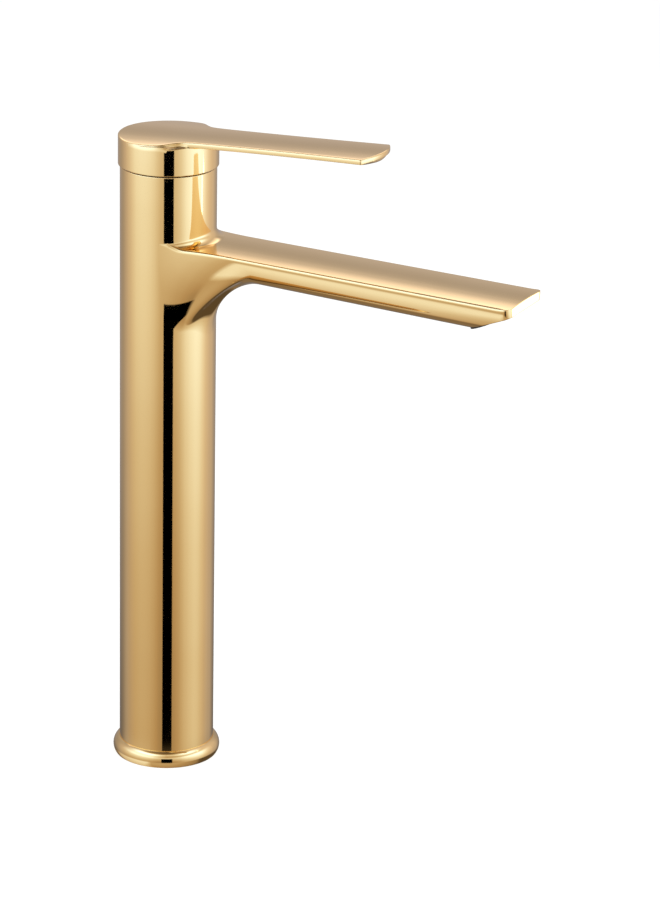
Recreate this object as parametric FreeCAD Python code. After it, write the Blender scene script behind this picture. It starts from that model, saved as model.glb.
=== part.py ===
import FreeCAD, Part
import math
import os
from FreeCAD import Vector

# Tall single-lever basin mixer.
# Sizes are in millimetres and degrees. The origin lies on the column axis at
# the deck, +Z is up and +X runs along the spout. The lever rests closed.

# Column and base
column_r = 22.5
column_wall = 3.0
base_ring_overhang = 2.9
base_ring_height = 7.9
base_ring_widest_z = 4.2
base_ring_toe = 0.9
base_flange_t = 0.8
base_flange_width = 2.0
gasket_t = 1.0
gasket_overhang = 0.7
gasket_width = 5.0
foot_plate_t = 10.0
stud_hole_r = 3.4
stud_inset = 6.2
hose_window_half_x = 5.5
hose_window_half_y = 14.0

# Spout
spout_top_z = 260.0
spout_droop = 0.94
spout_reach = 182.5
spout_root_half_width = 16.9
spout_tip_half_width = 17.9
spout_root_depth = 15.2
spout_tip_depth = 17.3
spout_root_fillet = 30.0
spout_heel_fillet = 4.5
nose_height = 4.6
nose_corner_r = 3.0
undercut_angle = 24.0
spout_wall = 2.5
spout_roof = 2.6
waterway_start_below_top = 8.4

# Aerator, centred on the slanted face under the nose
aerator_from_tip = 18.0
aerator_r = 8.95
aerator_wall = 1.25
aerator_proud = 1.0
aerator_body_t = 5.5
aerator_washer_t = 1.1
aerator_washer_bore_r = 6.0
aerator_jet_r = 0.75
aerator_jet_pitch = 2.6
aerator_jet_rings = 2

# Neck and cartridge chamber
neck_height = 32.8
inlet_block_below_top = 34.0
inlet_r = 4.6
inlet_depth = 12.0
inlet_passage_r = 3.0
inlet_x = -2.0
inlet_inset = 4.5
outlet_r = 4.0
outlet_inset = 5.5

# Cartridge
nut_seat = 2.0
shoulder_below_rim = 13.8
housing_body_height = 17.0
cartridge_base_t = 4.5
port_seal_t = 1.2
port_seal_width = 1.6
disc_seal_t = 1.0
disc_seal_width = 1.3
disc_inset = 4.5
fixed_disc_t = 3.0
fixed_disc_port_r = 2.9
moving_disc_inset = 2.9
moving_disc_t = 2.5
mixing_pocket_r = 4.5
mixing_pocket_depth = 1.4
carrier_t = 5.0
carrier_flat_depth = 2.1
carrier_pocket_floor = 1.05
rotor_inset = 5.8
rotor_step = 1.6
rotor_neck_height = 3.6
rotor_flange_t = 14.0
rotor_seal_r = 0.9
rotor_seal_above_base = 3.0
housing_neck_wall = 2.2
housing_lip_t = 2.0
nut_height = 7.5
nut_notch_width = 4.0
nut_notch_depth = 2.0
nut_notch_count = 6
bonnet_wall = 1.2
bonnet_skirt_height = 2.8
bonnet_cone_height = 4.2
bonnet_width = 5.0
limit_ring_width = 3.9
limit_ring_t = 1.5
limit_lug_reach = 2.5
limit_lug_root = 1.0
limit_lug_half_angle = 12.0
swivel_half_range = 45.0

# Lever
pivot_below_rim = 10.3
stem_lean = 12.5
stem_width = 8.0
stem_depth = 7.5
stem_above_pivot = 19.0
stem_below_pivot = 4.5
stem_neck_r = 1.7
stem_ball_r = 2.2
stem_arm = 11.3
pivot_pin_r = 1.5
pivot_pin_length = 19.0
cap_overhang = 0.9
seam_gap = 0.8
cap_wall = 2.8
cap_lip = 0.4
cap_bevel_height = 3.2
cap_ceiling_above_rim = 9.7
lever_top_above_rim = 15.9
lever_rise = 3.1
lever_edge_t = 3.2
lever_middle_t = 5.1
lever_leave_x = -10.0
lever_shoulder_inset = 2.4
lever_waist_half_width = 13.9
lever_tip_half_width = 15.0
lever_neck_x = 9.3
lever_root_x = 18.6
lever_root_half_width = 14.7
lever_waist_x = 52.0
lever_corner_x = 106.2
lever_reach = 110.6
lever_corner_r = 3.5
boss_r = 8.5
boss_start = 14.0
set_screw_r = 2.45
set_screw_tip_r = 1.2
set_screw_tip_length = 1.2
set_screw_length = 6.0
set_screw_socket_r = 1.2
set_screw_socket_depth = 2.0
set_screw_above_rim = 6.7
index_plug_r = 2.95
index_plug_recess = 0.2

# Clearances
fixed_gap = 0.05
chamber_gap = 0.1
disc_gap = 0.15
bonnet_gap = 0.2
running_gap = 0.3
pin_gap = 0.05
disc_face_gap = 0.05
ball_gap = 0.3

# Lengths that reach past the part, for cutting and building only
construction_margin = 60.0
far = 400.0

# Levels and radii worked out from the sizes above
bore_r = column_r - column_wall
base_ring_r = column_r + base_ring_overhang
gasket_r = column_r + gasket_overhang
cap_r = column_r + cap_overhang
lever_shoulder_half_width = cap_r - lever_shoulder_inset
stud_spacing = 2 * (bore_r - stud_inset)
cartridge_r = bore_r - nut_seat
fixed_disc_r = cartridge_r - disc_inset
moving_disc_r = fixed_disc_r - moving_disc_inset
carrier_half_width = moving_disc_r - carrier_flat_depth
rotor_r = cartridge_r - rotor_inset
rotor_neck_r = rotor_r - rotor_step
limit_ring_r = rotor_neck_r + limit_ring_width
bonnet_opening_r = bore_r - bonnet_width
inlet_y = fixed_disc_r - inlet_inset
outlet_x = fixed_disc_r - outlet_inset
foot_z = gasket_t + base_flange_t
rim_z = spout_top_z + neck_height
inlet_block_z = spout_top_z - inlet_block_below_top
shoulder_z = rim_z - shoulder_below_rim
base_top_z = shoulder_z - housing_body_height
chamber_floor_z = base_top_z - cartridge_base_t
fixed_disc_top_z = base_top_z + fixed_disc_t
moving_disc_z = fixed_disc_top_z + disc_face_gap
carrier_z = moving_disc_z + moving_disc_t
carrier_top_z = carrier_z + carrier_t
rotor_z = carrier_top_z + running_gap
rotor_flange_top_z = rotor_z + rotor_flange_t
rotor_top_z = rotor_flange_top_z + rotor_neck_height
lip_z = rotor_flange_top_z + running_gap
housing_top_z = lip_z + housing_lip_t
rotor_bore_r = rotor_r + running_gap
housing_neck_r = rotor_bore_r + housing_neck_wall
disc_chamber_r = fixed_disc_r + disc_gap
nut_top_z = shoulder_z + nut_height
pivot_z = rim_z - pivot_below_rim
disc_rest_x = -stem_arm * math.sin(math.radians(stem_lean))
cap_z = rim_z + seam_gap
cap_ceiling_z = rim_z + cap_ceiling_above_rim
cap_bore_r = cap_r - cap_wall
lever_top_z = rim_z + lever_top_above_rim
set_screw_z = rim_z + set_screw_above_rim
aerator_socket_r = aerator_r + fixed_gap
construction_height = rim_z + construction_margin
up = Vector(0, 0, 1)
across = Vector(0, 1, 0)
centre = Vector(0, 0, 0)


def cylinder(r, z0, z1, x=0.0, y=0.0):
    """Upright cylinder between two levels."""
    return Part.makeCylinder(r, z1 - z0, Vector(x, y, z0))


def tube(r_out, r_in, z0, z1, x=0.0, y=0.0):
    """Upright round tube between two levels."""
    return cylinder(r_out, z0, z1, x, y).cut(cylinder(r_in, z0, z1, x, y))


def block(x0, x1, y0, y1, z0, z1):
    """Box between two corners."""
    return Part.makeBox(x1 - x0, y1 - y0, z1 - z0, Vector(x0, y0, z0))


def turned(edges):
    """Solid turned about Z from the edges of a closed half section."""
    return Part.Face(Part.Wire(edges)).revolve(centre, up, 360)


def polygon(points):
    """Edges of a closed polygon given as (radius, z) pairs."""
    corners = [Vector(r, 0, z) for r, z in points]
    return Part.makePolygon(corners + corners[:1]).Edges


def line(a, b):
    """Straight edge."""
    return Part.LineSegment(a, b).toShape()


def arc(a, b, c):
    """Circular edge through three points."""
    return Part.Arc(a, b, c).toShape()


def spout_top(x):
    """Height of the spout's flat top at a distance from the axis."""
    return spout_top_z - x * math.tan(math.radians(spout_droop))


def sloped_block(z_on_axis, slope, x0, x1, half_y, low, high):
    """Box whose faces rise along X by a slope, measured from a height on the axis."""
    shape = block(x0, x1, -half_y, half_y, low, high)
    shape.rotate(centre, across, -slope)
    shape.translate(Vector(0, 0, z_on_axis))
    return shape


def spout_section(x, half_width, depth, wall):
    """U-shaped section: a half-round belly under straight sides, drawn in by a wall."""
    centre_z = spout_top(x) - depth + half_width
    inner = half_width - wall
    a = Vector(x, -inner, construction_height)
    b = Vector(x, -inner, centre_z)
    belly = Vector(x, 0, centre_z - inner)
    c = Vector(x, inner, centre_z)
    d = Vector(x, inner, construction_height)
    return Part.Wire([line(a, b), arc(b, belly, c), line(c, d), line(d, a)])


def spout_loft(wall):
    """Bar from the axis to the tip, drawn in by a wall and still tall."""
    root = spout_section(0, spout_root_half_width, spout_root_depth, wall)
    tip = spout_section(spout_reach, spout_tip_half_width, spout_tip_depth, wall)
    return Part.makeLoft([root, tip], True, True)


def spout_bar():
    """Spout before its top is cut flat, with rounded nose corners."""
    bar = spout_loft(0)
    nose = []
    for edge in bar.Edges:
        box = edge.BoundBox
        if box.XMin > spout_reach - fixed_gap and box.ZMin < construction_height - fixed_gap:
            nose.append(edge)
    return bar.makeFillet(nose_corner_r, nose)


def column_and_spout():
    """Outer form: column and spout run into each other with a wide fillet."""
    column = cylinder(column_r, foot_z, construction_height)
    shape = column.fuse(spout_bar()).removeSplitter()
    junction = []
    for edge in shape.Edges:
        box = edge.BoundBox
        on_column = all(abs(math.hypot(v.X, v.Y) - column_r) < fixed_gap for v in edge.Vertexes)
        upright = box.ZMax - box.ZMin > fixed_gap and box.XMin > fixed_gap
        if on_column and upright:
            junction.append(edge)
    shape = shape.makeFillet(spout_root_fillet, junction)
    return shape.cut(above_spout()).cut(under_nose())


def above_spout():
    """What is cut away above the spout and the rim, leaving a coved heel at the neck."""
    heel_r = column_r + spout_heel_fillet
    heel_z = spout_top(heel_r)
    middle = spout_heel_fillet * math.sqrt(0.5)
    a = Vector(0, 0, inlet_block_z)
    b = Vector(heel_r, 0, inlet_block_z)
    c = Vector(heel_r, 0, heel_z)
    d = Vector(heel_r - middle, 0, heel_z + spout_heel_fillet - middle)
    e = Vector(column_r, 0, heel_z + spout_heel_fillet)
    f = Vector(column_r, 0, rim_z)
    g = Vector(0, 0, rim_z)
    neck = turned([line(a, b), line(b, c), arc(c, d, e), line(e, f), line(f, g), line(g, a)])
    return sloped_block(spout_top_z, -spout_droop, -far, far, far, 0, far).cut(neck)


def nose_z():
    """Lower edge of the upright face at the spout's tip."""
    return spout_top(spout_reach) - nose_height


def under_nose():
    """What is cut away below the slanted face under the nose."""
    shape = block(-far, far, -far, far, -far, 0)
    shape.rotate(centre, across, -undercut_angle)
    shape.translate(Vector(spout_reach, 0, nose_z()))
    return shape.common(block(spout_reach / 2, far, -far, far, 0, construction_height))


def at_aerator(shape):
    """Places a shape built on +Z so that +Z points out of the slanted face."""
    rise = aerator_from_tip * math.tan(math.radians(undercut_angle))
    shape.rotate(centre, across, 180 - undercut_angle)
    shape.translate(Vector(spout_reach - aerator_from_tip, 0, nose_z() - rise))
    return shape


def waterway():
    """Passage from the outlet port along the hollow spout to the aerator socket."""
    end = spout_reach - aerator_from_tip - aerator_washer_t
    keep = sloped_block(spout_top_z, -spout_droop, bore_r, end, column_r, -far, -spout_roof)
    level = spout_top_z - waterway_start_below_top
    run = Part.makeCylinder(outlet_r, column_r - outlet_x, Vector(outlet_x, 0, level), Vector(1, 0, 0))
    drop = cylinder(outlet_r, level, rim_z, outlet_x)
    return [spout_loft(spout_wall).common(keep), run, drop]


def body_casting():
    """Brass column and spout in one casting, with its chambers and passages."""
    shape = column_and_spout()
    socket_depth = aerator_body_t + aerator_washer_t
    cuts = [
        cylinder(bore_r, 0, inlet_block_z),
        cylinder(cartridge_r + chamber_gap, chamber_floor_z, rim_z),
        cylinder(bore_r, shoulder_z, rim_z + seam_gap),
        at_aerator(cylinder(aerator_socket_r, -socket_depth, socket_depth)),
    ]
    for side in (-1, 1):
        cuts.append(cylinder(inlet_r, inlet_block_z, inlet_block_z + inlet_depth, inlet_x, side * inlet_y))
        cuts.append(cylinder(inlet_passage_r, inlet_block_z, rim_z, inlet_x, side * inlet_y))
    for tool in cuts + waterway():
        shape = shape.cut(tool)
    return shape


def base_ring():
    """Half-round trim ring at the foot, with a flange under the column."""
    inner_r = column_r + fixed_gap
    flange_r = column_r - base_flange_width
    recess_r = gasket_r + fixed_gap
    a = Vector(flange_r, 0, gasket_t)
    b = Vector(recess_r, 0, gasket_t)
    c = Vector(recess_r, 0, 0)
    d = Vector(base_ring_r - base_ring_toe, 0, 0)
    e = Vector(base_ring_r, 0, base_ring_widest_z)
    f = Vector(inner_r, 0, base_ring_height)
    g = Vector(inner_r, 0, foot_z)
    h = Vector(flange_r, 0, foot_z)
    return turned([line(a, b), line(b, c), line(c, d), arc(d, e, f), line(f, g), line(g, h), line(h, a)])


def base_gasket():
    """Flat rubber ring between the base and the deck."""
    return tube(gasket_r, gasket_r - gasket_width, 0, gasket_t)


def foot_plate():
    """Screwed-in plate that takes the two fixing studs and lets the hoses through."""
    shape = cylinder(bore_r - fixed_gap, foot_z, foot_z + foot_plate_t)
    straight = hose_window_half_y - hose_window_half_x
    top = foot_z + foot_plate_t
    shape = shape.cut(block(inlet_x - hose_window_half_x, inlet_x + hose_window_half_x,
                            -straight, straight, foot_z, top))
    for side in (-1, 1):
        shape = shape.cut(cylinder(hose_window_half_x, foot_z, top, inlet_x, side * straight))
        shape = shape.cut(cylinder(stud_hole_r, foot_z, top, side * stud_spacing / 2))
    return shape


def aerator_shell():
    """Threaded shell of the aerator, just proud of the slanted face."""
    return at_aerator(tube(aerator_r, aerator_r - aerator_wall, -aerator_body_t, aerator_proud))


def aerator_insert():
    """Flow straightener with rings of small jets."""
    insert_r = aerator_r - aerator_wall - fixed_gap
    shape = cylinder(insert_r, -aerator_body_t, 0)
    jets = [cylinder(aerator_jet_r, -aerator_body_t, 0)]
    for ring in range(1, aerator_jet_rings + 1):
        for step in range(6 * ring):
            angle = 2 * math.pi * step / (6 * ring)
            x = ring * aerator_jet_pitch * math.cos(angle)
            y = ring * aerator_jet_pitch * math.sin(angle)
            jets.append(cylinder(aerator_jet_r, -aerator_body_t, 0, x, y))
    return at_aerator(shape.cut(Part.makeCompound(jets)))


def aerator_washer():
    """Sealing washer behind the aerator."""
    low = -aerator_body_t - aerator_washer_t
    return at_aerator(tube(aerator_r, aerator_washer_bore_r, low, -aerator_body_t))


def ports():
    """The two inlets and the outlet, each as x, y and the port's radius."""
    return [
        (inlet_x, -inlet_y, inlet_passage_r),
        (inlet_x, inlet_y, inlet_passage_r),
        (outlet_x, 0.0, outlet_r),
    ]


def cartridge_base():
    """Cartridge bottom plate with its ports and the seats of both sets of seals."""
    shape = cylinder(cartridge_r, chamber_floor_z, base_top_z)
    for x, y, r in ports():
        shape = shape.cut(cylinder(r, chamber_floor_z, base_top_z, x, y))
        lower_r = r + port_seal_width + fixed_gap
        upper_r = fixed_disc_port_r + disc_seal_width + fixed_gap
        shape = shape.cut(cylinder(lower_r, chamber_floor_z, chamber_floor_z + port_seal_t, x, y))
        shape = shape.cut(cylinder(upper_r, base_top_z - disc_seal_t, base_top_z, x, y))
    return shape


def cartridge_port_seals():
    """Rubber rings between the cartridge and the chamber floor."""
    rings = []
    for x, y, r in ports():
        rings.append(tube(r + port_seal_width, r, chamber_floor_z, chamber_floor_z + port_seal_t, x, y))
    return Part.makeCompound(rings)


def disc_seals():
    """Rubber rings between the cartridge base and the fixed disc."""
    rings = []
    for x, y, _ in ports():
        r = fixed_disc_port_r
        rings.append(tube(r + disc_seal_width, r, base_top_z - disc_seal_t, base_top_z, x, y))
    return Part.makeCompound(rings)


def fixed_disc():
    """Ceramic disc with the two inlet ports and the outlet port."""
    shape = cylinder(fixed_disc_r, base_top_z, fixed_disc_top_z)
    for x, y, _ in ports():
        shape = shape.cut(cylinder(fixed_disc_port_r, base_top_z, fixed_disc_top_z, x, y))
    return shape


def moving_disc():
    """Ceramic disc with the mixing pocket in its lower face."""
    shape = cylinder(moving_disc_r, moving_disc_z, carrier_z, disc_rest_x)
    pocket_x = disc_rest_x + mixing_pocket_r
    return shape.cut(cylinder(mixing_pocket_r, moving_disc_z, moving_disc_z + mixing_pocket_depth, pocket_x))


def disc_carrier():
    """Slider that the stem's ball pushes, with flats that the rotor guides."""
    shape = cylinder(moving_disc_r, carrier_z, carrier_top_z, disc_rest_x)
    flats = block(-far, far, -carrier_half_width, carrier_half_width, carrier_z, carrier_top_z)
    pocket = cylinder(stem_ball_r + ball_gap, carrier_z + carrier_pocket_floor, carrier_top_z, disc_rest_x)
    return shape.common(flats).cut(pocket)


def cartridge_housing():
    """Cartridge shell: disc chamber below, rotor bore and retaining lip above."""
    shape = cylinder(cartridge_r, base_top_z, shoulder_z)
    shape = shape.fuse(cylinder(housing_neck_r, shoulder_z, housing_top_z))
    shape = shape.cut(cylinder(disc_chamber_r, base_top_z, rotor_z))
    shape = shape.cut(cylinder(rotor_bore_r, rotor_z, lip_z))
    return shape.cut(cylinder(rotor_neck_r + running_gap, lip_z, housing_top_z))


def lug(r_in, r_out, half_angle, z0, z1):
    """Ring sector about the -X direction."""
    half = math.radians(half_angle)
    sector = [Vector(0, 0, z0)]
    for angle in (-half, 0, half):
        reach = 2 * r_out
        sector.append(Vector(-reach * math.cos(angle), reach * math.sin(angle), z0))
    wedge = Part.Face(Part.makePolygon(sector + sector[:1])).extrude(Vector(0, 0, z1 - z0))
    return tube(r_out, r_in, z0, z1).common(wedge)


def cartridge_rotor():
    """Turning core: carries the pivot pin, guides the slider and bears the stop lug."""
    shape = cylinder(rotor_r, rotor_z, rotor_flange_top_z)
    shape = shape.fuse(cylinder(rotor_neck_r, rotor_flange_top_z, rotor_top_z))
    lug_z = housing_top_z + running_gap
    lug_r = rotor_neck_r + limit_lug_reach
    shape = shape.fuse(lug(rotor_neck_r - limit_lug_root, lug_r, limit_lug_half_angle, lug_z, rotor_top_z))
    guide_z = carrier_z + running_gap
    guide = cylinder(rotor_r, guide_z, rotor_z)
    guide_gap = carrier_half_width + running_gap
    shape = shape.fuse(guide.cut(block(-far, far, -guide_gap, guide_gap, guide_z, rotor_z)))
    lean = math.radians(stem_lean)
    half_x = (rotor_top_z - pivot_z) * math.tan(lean) + stem_depth / 2 / math.cos(lean) + running_gap
    half_y = stem_width / 2 + running_gap
    shape = shape.cut(block(-half_x, half_x, -half_y, half_y, rotor_z, rotor_top_z))
    shape = shape.cut(pin_bar(pivot_pin_r + fixed_gap, pivot_pin_length / 2 + fixed_gap))
    groove_z = rotor_z + rotor_seal_above_base
    groove = tube(rotor_r, rotor_r - 2 * rotor_seal_r, groove_z - rotor_seal_r, groove_z + rotor_seal_r)
    return shape.cut(groove).removeSplitter()


def pin_bar(r, half_length):
    """Bar along Y through the pivot."""
    return Part.makeCylinder(r, 2 * half_length, Vector(0, -half_length, pivot_z), across)


def pivot_pin():
    """Steel pin on which the stem tilts."""
    return pin_bar(pivot_pin_r, pivot_pin_length / 2)


def rotor_seal():
    """O-ring in the rotor's groove."""
    ring_r = rotor_r - rotor_seal_r
    level = Vector(0, 0, rotor_z + rotor_seal_above_base)
    return Part.makeTorus(ring_r, rotor_seal_r - fixed_gap, level, up)


def cartridge_nut():
    """Threaded ring that clamps the cartridge, with wrench notches in its top."""
    shape = tube(bore_r - fixed_gap, housing_neck_r + running_gap, shoulder_z, nut_top_z)
    for step in range(nut_notch_count):
        notch = block(housing_neck_r, 2 * bore_r, -nut_notch_width / 2, nut_notch_width / 2,
                      nut_top_z - nut_notch_depth, nut_top_z)
        notch.rotate(centre, up, 360 * step / nut_notch_count)
        shape = shape.cut(notch)
    return shape


def bonnet():
    """Thin cone that hides the nut under the lever cap."""
    outer_r = bore_r - bonnet_gap
    skirt_z = nut_top_z + bonnet_skirt_height
    top_z = skirt_z + bonnet_cone_height
    return turned(polygon([
        (outer_r - bonnet_wall, nut_top_z),
        (outer_r, nut_top_z),
        (outer_r, skirt_z),
        (bonnet_opening_r + bonnet_wall, top_z),
        (bonnet_opening_r, top_z - bonnet_wall / 2),
        (outer_r - bonnet_wall, skirt_z - bonnet_wall / 2),
    ]))


def hot_limit_ring():
    """Ring on the housing whose window stops the rotor's lug at both ends of the swivel."""
    shape = tube(limit_ring_r, rotor_neck_r + running_gap, housing_top_z, housing_top_z + limit_ring_t)
    lug_r = rotor_neck_r + limit_lug_reach
    half = swivel_half_range + limit_lug_half_angle + math.degrees(running_gap / rotor_neck_r)
    window = lug(rotor_neck_r, lug_r + running_gap, half, housing_top_z, housing_top_z + limit_ring_t)
    return shape.cut(window)


def leaned(shape):
    """Places a shape built upright on the pivot at the stem's lean."""
    shape.rotate(centre, across, stem_lean)
    shape.translate(Vector(0, 0, pivot_z))
    return shape


def stem_bar(gap, low, high):
    """Upright bar of the stem's section, grown by a gap."""
    half_x = stem_depth / 2 + gap
    half_y = stem_width / 2 + gap
    return block(-half_x, half_x, -half_y, half_y, low, high)


def lever_stem():
    """Steel stem: square above the pivot, a neck and a ball below it."""
    shape = stem_bar(0, -stem_below_pivot, stem_above_pivot)
    shape = shape.fuse(cylinder(stem_neck_r, -stem_arm, -stem_below_pivot))
    shape = shape.fuse(Part.makeSphere(stem_ball_r, Vector(0, 0, -stem_arm)))
    return leaned(shape).cut(pin_bar(pivot_pin_r + pin_gap, stem_width))


def lever_plan():
    """Outline of the lever seen from above: round behind, waisted, with a bowed end."""
    leave_y = math.sqrt(cap_r ** 2 - lever_leave_x ** 2)
    side = [
        Vector(lever_leave_x, leave_y, 0),
        Vector(0, lever_shoulder_half_width, 0),
        Vector(lever_neck_x, (lever_shoulder_half_width + lever_waist_half_width) / 2, 0),
        Vector(lever_root_x, lever_root_half_width, 0),
        Vector(lever_waist_x, lever_waist_half_width, 0),
        Vector(lever_corner_x, lever_tip_half_width, 0),
    ]
    left = Part.BSplineCurve()
    left.interpolate(side, InitialTangent=Vector(lever_neck_x, 0, 0),
                     FinalTangent=Vector(lever_corner_x, lever_tip_half_width - lever_waist_half_width, 0))
    left = left.toShape()
    right = left.mirror(centre, across)
    corner = side[-1]
    end = arc(corner, Vector(lever_reach, 0, 0), Vector(corner.x, -corner.y, 0))
    back = arc(side[0], Vector(-cap_r, 0, 0), Vector(lever_leave_x, -leave_y, 0))
    return Part.Wire(Part.__sortEdges__([left, end, right, back]))


def lever_plate():
    """Flat-topped lever with a shallow belly under its middle."""
    prism = Part.Face(lever_plan()).extrude(Vector(0, 0, construction_height))
    corners = []
    for edge in prism.Edges:
        box = edge.BoundBox
        if box.ZMax - box.ZMin > rim_z and box.XMin > lever_corner_x - fixed_gap:
            corners.append(edge)
    prism = prism.makeFillet(lever_corner_r, corners)
    slab = sloped_block(lever_top_z, lever_rise, -far, far, far, -lever_edge_t, 0)
    half = lever_waist_half_width
    a = Vector(0, -half, -lever_edge_t)
    b = Vector(0, 0, -lever_middle_t)
    c = Vector(0, half, -lever_edge_t)
    d = Vector(0, half, -lever_edge_t / 2)
    e = Vector(0, -half, -lever_edge_t / 2)
    belly = Part.Face(Part.Wire([arc(a, b, c), line(c, d), line(d, e), line(e, a)]))
    belly = belly.extrude(Vector(far, 0, 0))
    belly.rotate(centre, across, -lever_rise)
    belly.translate(Vector(0, 0, lever_top_z))
    return prism.common(slab.fuse(belly))


def lever_handle():
    """Cap and lever in one piece, hollow under the cap, with a socket for the stem."""
    cap = cylinder(cap_r, cap_z, lever_top_z + lever_edge_t)
    cap = cap.cut(sloped_block(lever_top_z, lever_rise, -far, far, far, -lever_edge_t, far))
    shape = cap.fuse(lever_plate()).removeSplitter()
    shape = shape.cut(turned(polygon([
        (0, cap_z),
        (cap_r - cap_lip, cap_z),
        (cap_bore_r, cap_z + cap_bevel_height),
        (cap_bore_r, cap_ceiling_z),
        (0, cap_ceiling_z),
    ])))
    boss = leaned(cylinder(boss_r, boss_start, stem_above_pivot + boss_r))
    boss = boss.common(block(-far, far, -far, far, 0, cap_ceiling_z + lever_edge_t / 2))
    shape = shape.fuse(boss)
    shape = shape.cut(leaned(stem_bar(fixed_gap, 0, stem_above_pivot + fixed_gap)))
    shape = shape.cut(set_screw_bar(set_screw_r + fixed_gap, -far, 0))
    return shape.cut(set_screw_bar(index_plug_r + fixed_gap, -far, -cap_bore_r + fixed_gap))


def set_screw_bar(r, x0, x1):
    """Bar along X at the set screw's height."""
    return Part.makeCylinder(r, x1 - x0, Vector(x0, 0, set_screw_z), Vector(1, 0, 0))


def set_screw_tip_x():
    """Where the set screw's tip meets the stem's rear flat."""
    lean = math.radians(stem_lean)
    flat = (set_screw_z - pivot_z) * math.tan(lean) - stem_depth / 2 / math.cos(lean)
    return flat - set_screw_tip_r * math.tan(lean) - fixed_gap


def handle_set_screw():
    """Grub screw with a hexagon socket that clamps the handle to the stem."""
    tip = set_screw_tip_x()
    back = tip - set_screw_length
    shape = set_screw_bar(set_screw_r, back, tip - set_screw_tip_length)
    shape = shape.fuse(set_screw_bar(set_screw_tip_r, tip - set_screw_tip_length, tip))
    corners = []
    for step in range(6):
        angle = math.radians(60 * step)
        y = set_screw_socket_r * math.cos(angle)
        z = set_screw_z + set_screw_socket_r * math.sin(angle)
        corners.append(Vector(back, y, z))
    socket = Part.Face(Part.makePolygon(corners + corners[:1]))
    return shape.cut(socket.extrude(Vector(set_screw_socket_depth, 0, 0)))


def index_plug():
    """Small plug that closes the set screw's hole at the back of the cap."""
    bar = set_screw_bar(index_plug_r, -cap_r, -cap_bore_r)
    return bar.common(cylinder(cap_r - index_plug_recess, cap_z, lever_top_z))


pieces = [
    body_casting,
    base_ring,
    base_gasket,
    foot_plate,
    aerator_shell,
    aerator_insert,
    aerator_washer,
    cartridge_base,
    cartridge_port_seals,
    disc_seals,
    fixed_disc,
    moving_disc,
    disc_carrier,
    cartridge_housing,
    cartridge_rotor,
    pivot_pin,
    rotor_seal,
    cartridge_nut,
    bonnet,
    hot_limit_ring,
    lever_stem,
    lever_handle,
    handle_set_screw,
    index_plug,
]

os.makedirs("parts", exist_ok=True)
for piece in pieces:
    shape = piece()
    if not shape.isValid() or not shape.Solids:
        raise ValueError(piece.__name__ + " is not a valid solid")
    shape.exportStep("parts/" + piece.__name__ + ".step")
    print(piece.__name__, len(shape.Solids), "solids", round(shape.Volume), "mm3")
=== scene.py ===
"""Looks and stage for a tall single-lever basin mixer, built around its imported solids."""

import math

import bmesh
import bpy
import numpy as np
from mathutils import Matrix, Vector


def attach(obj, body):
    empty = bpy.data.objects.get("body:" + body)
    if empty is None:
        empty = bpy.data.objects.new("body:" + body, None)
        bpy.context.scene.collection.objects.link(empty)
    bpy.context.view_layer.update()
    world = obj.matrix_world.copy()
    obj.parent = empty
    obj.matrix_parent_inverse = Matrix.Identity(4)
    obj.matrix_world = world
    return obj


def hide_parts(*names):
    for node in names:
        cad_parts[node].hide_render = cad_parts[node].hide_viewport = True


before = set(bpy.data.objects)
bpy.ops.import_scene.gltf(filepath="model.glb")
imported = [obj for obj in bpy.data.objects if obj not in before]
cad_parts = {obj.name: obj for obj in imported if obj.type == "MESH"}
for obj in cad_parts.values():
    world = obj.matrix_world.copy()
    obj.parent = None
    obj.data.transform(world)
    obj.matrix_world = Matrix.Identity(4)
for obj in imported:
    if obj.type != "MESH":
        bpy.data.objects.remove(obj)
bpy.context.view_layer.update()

bl_info = {
    "name": "Tall basin mixer",
    "version": (1, 0, 0),
    "blender": (4, 5, 0),
    "location": "3D View > Sidebar > Mixer",
    "description": "Dresses a tall single-lever basin mixer and sets up its studio",
    "category": "Object",
}

TINY = 1e-9  # keeps a division from zero, and a comparison from rounding
WELD = 2e-6  # points closer than this, in metres, become one
SHARP = math.radians(20)  # edges that turn further than this stay sharp
WAVE_RADIANS = 20  # angle that the wave texture turns through in one unit

# How far finishes vary: the share of the colour left where it is darkest, and roughness either way
STAIN_SHARE, MARK_ROUGHNESS = 0.92, 0.06
DRIFT_SHARE, GRAIN_ROUGHNESS = 0.88, 0.08

# Points and rows of the casting's grids
EDGE_POINTS = 13
SIDE_POINTS = 41
FILLET_ROWS = 45
TAPER_ROWS = 24
NEAR_ROWS = 12
SLANT_ROWS = 28
NOSE_ROWS = 11
COLUMN_ROWS = 41
NECK_ROWS = 17
BACK_POINTS = 97

# How the casting's grids are laid out: angles in radians, places in metres
WALL_ANGLES = (-0.9, 1.4)  # between these a wall meets the spout's top
HALVINGS = 40
BALL_ROUNDS = 8
START_ROUNDS = 30
EDGE_BAND = 0.15  # wall below the top edge that has closer points
EVEN_X = 0.1  # from here on the spout's rows lie square to it
ROUND_SHARE = 1 / 3  # share of the fillet over which the edge's rounding grows
NOSE_FADE = 0.005  # length over which the rounding ends at the nose
TOP_FADE = 0.06  # length over which the top's rows leave the column's curve

# Points and rows of the lever's and the plug's grids
OUTLINE_POINTS = 321
ACROSS_POINTS = 33
ROUND_POINTS = 7
LEDGE_POINTS = 13
FRONT_POINTS = 25
CAP_ROWS = 9
FLANK_POINTS = 5
LAP_ROWS = 6  # rows by which the lever's flank starts inside the cap
PLUG_RINGS = 9
PLUG_POINTS = 49
CAP_X = 0.012  # up to here the lever's outline keeps to the cap
END_X = 0.06  # from here on it keeps to the bowed end
LEAST_COVE = 1e-5  # width of the narrowest cove

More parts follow.
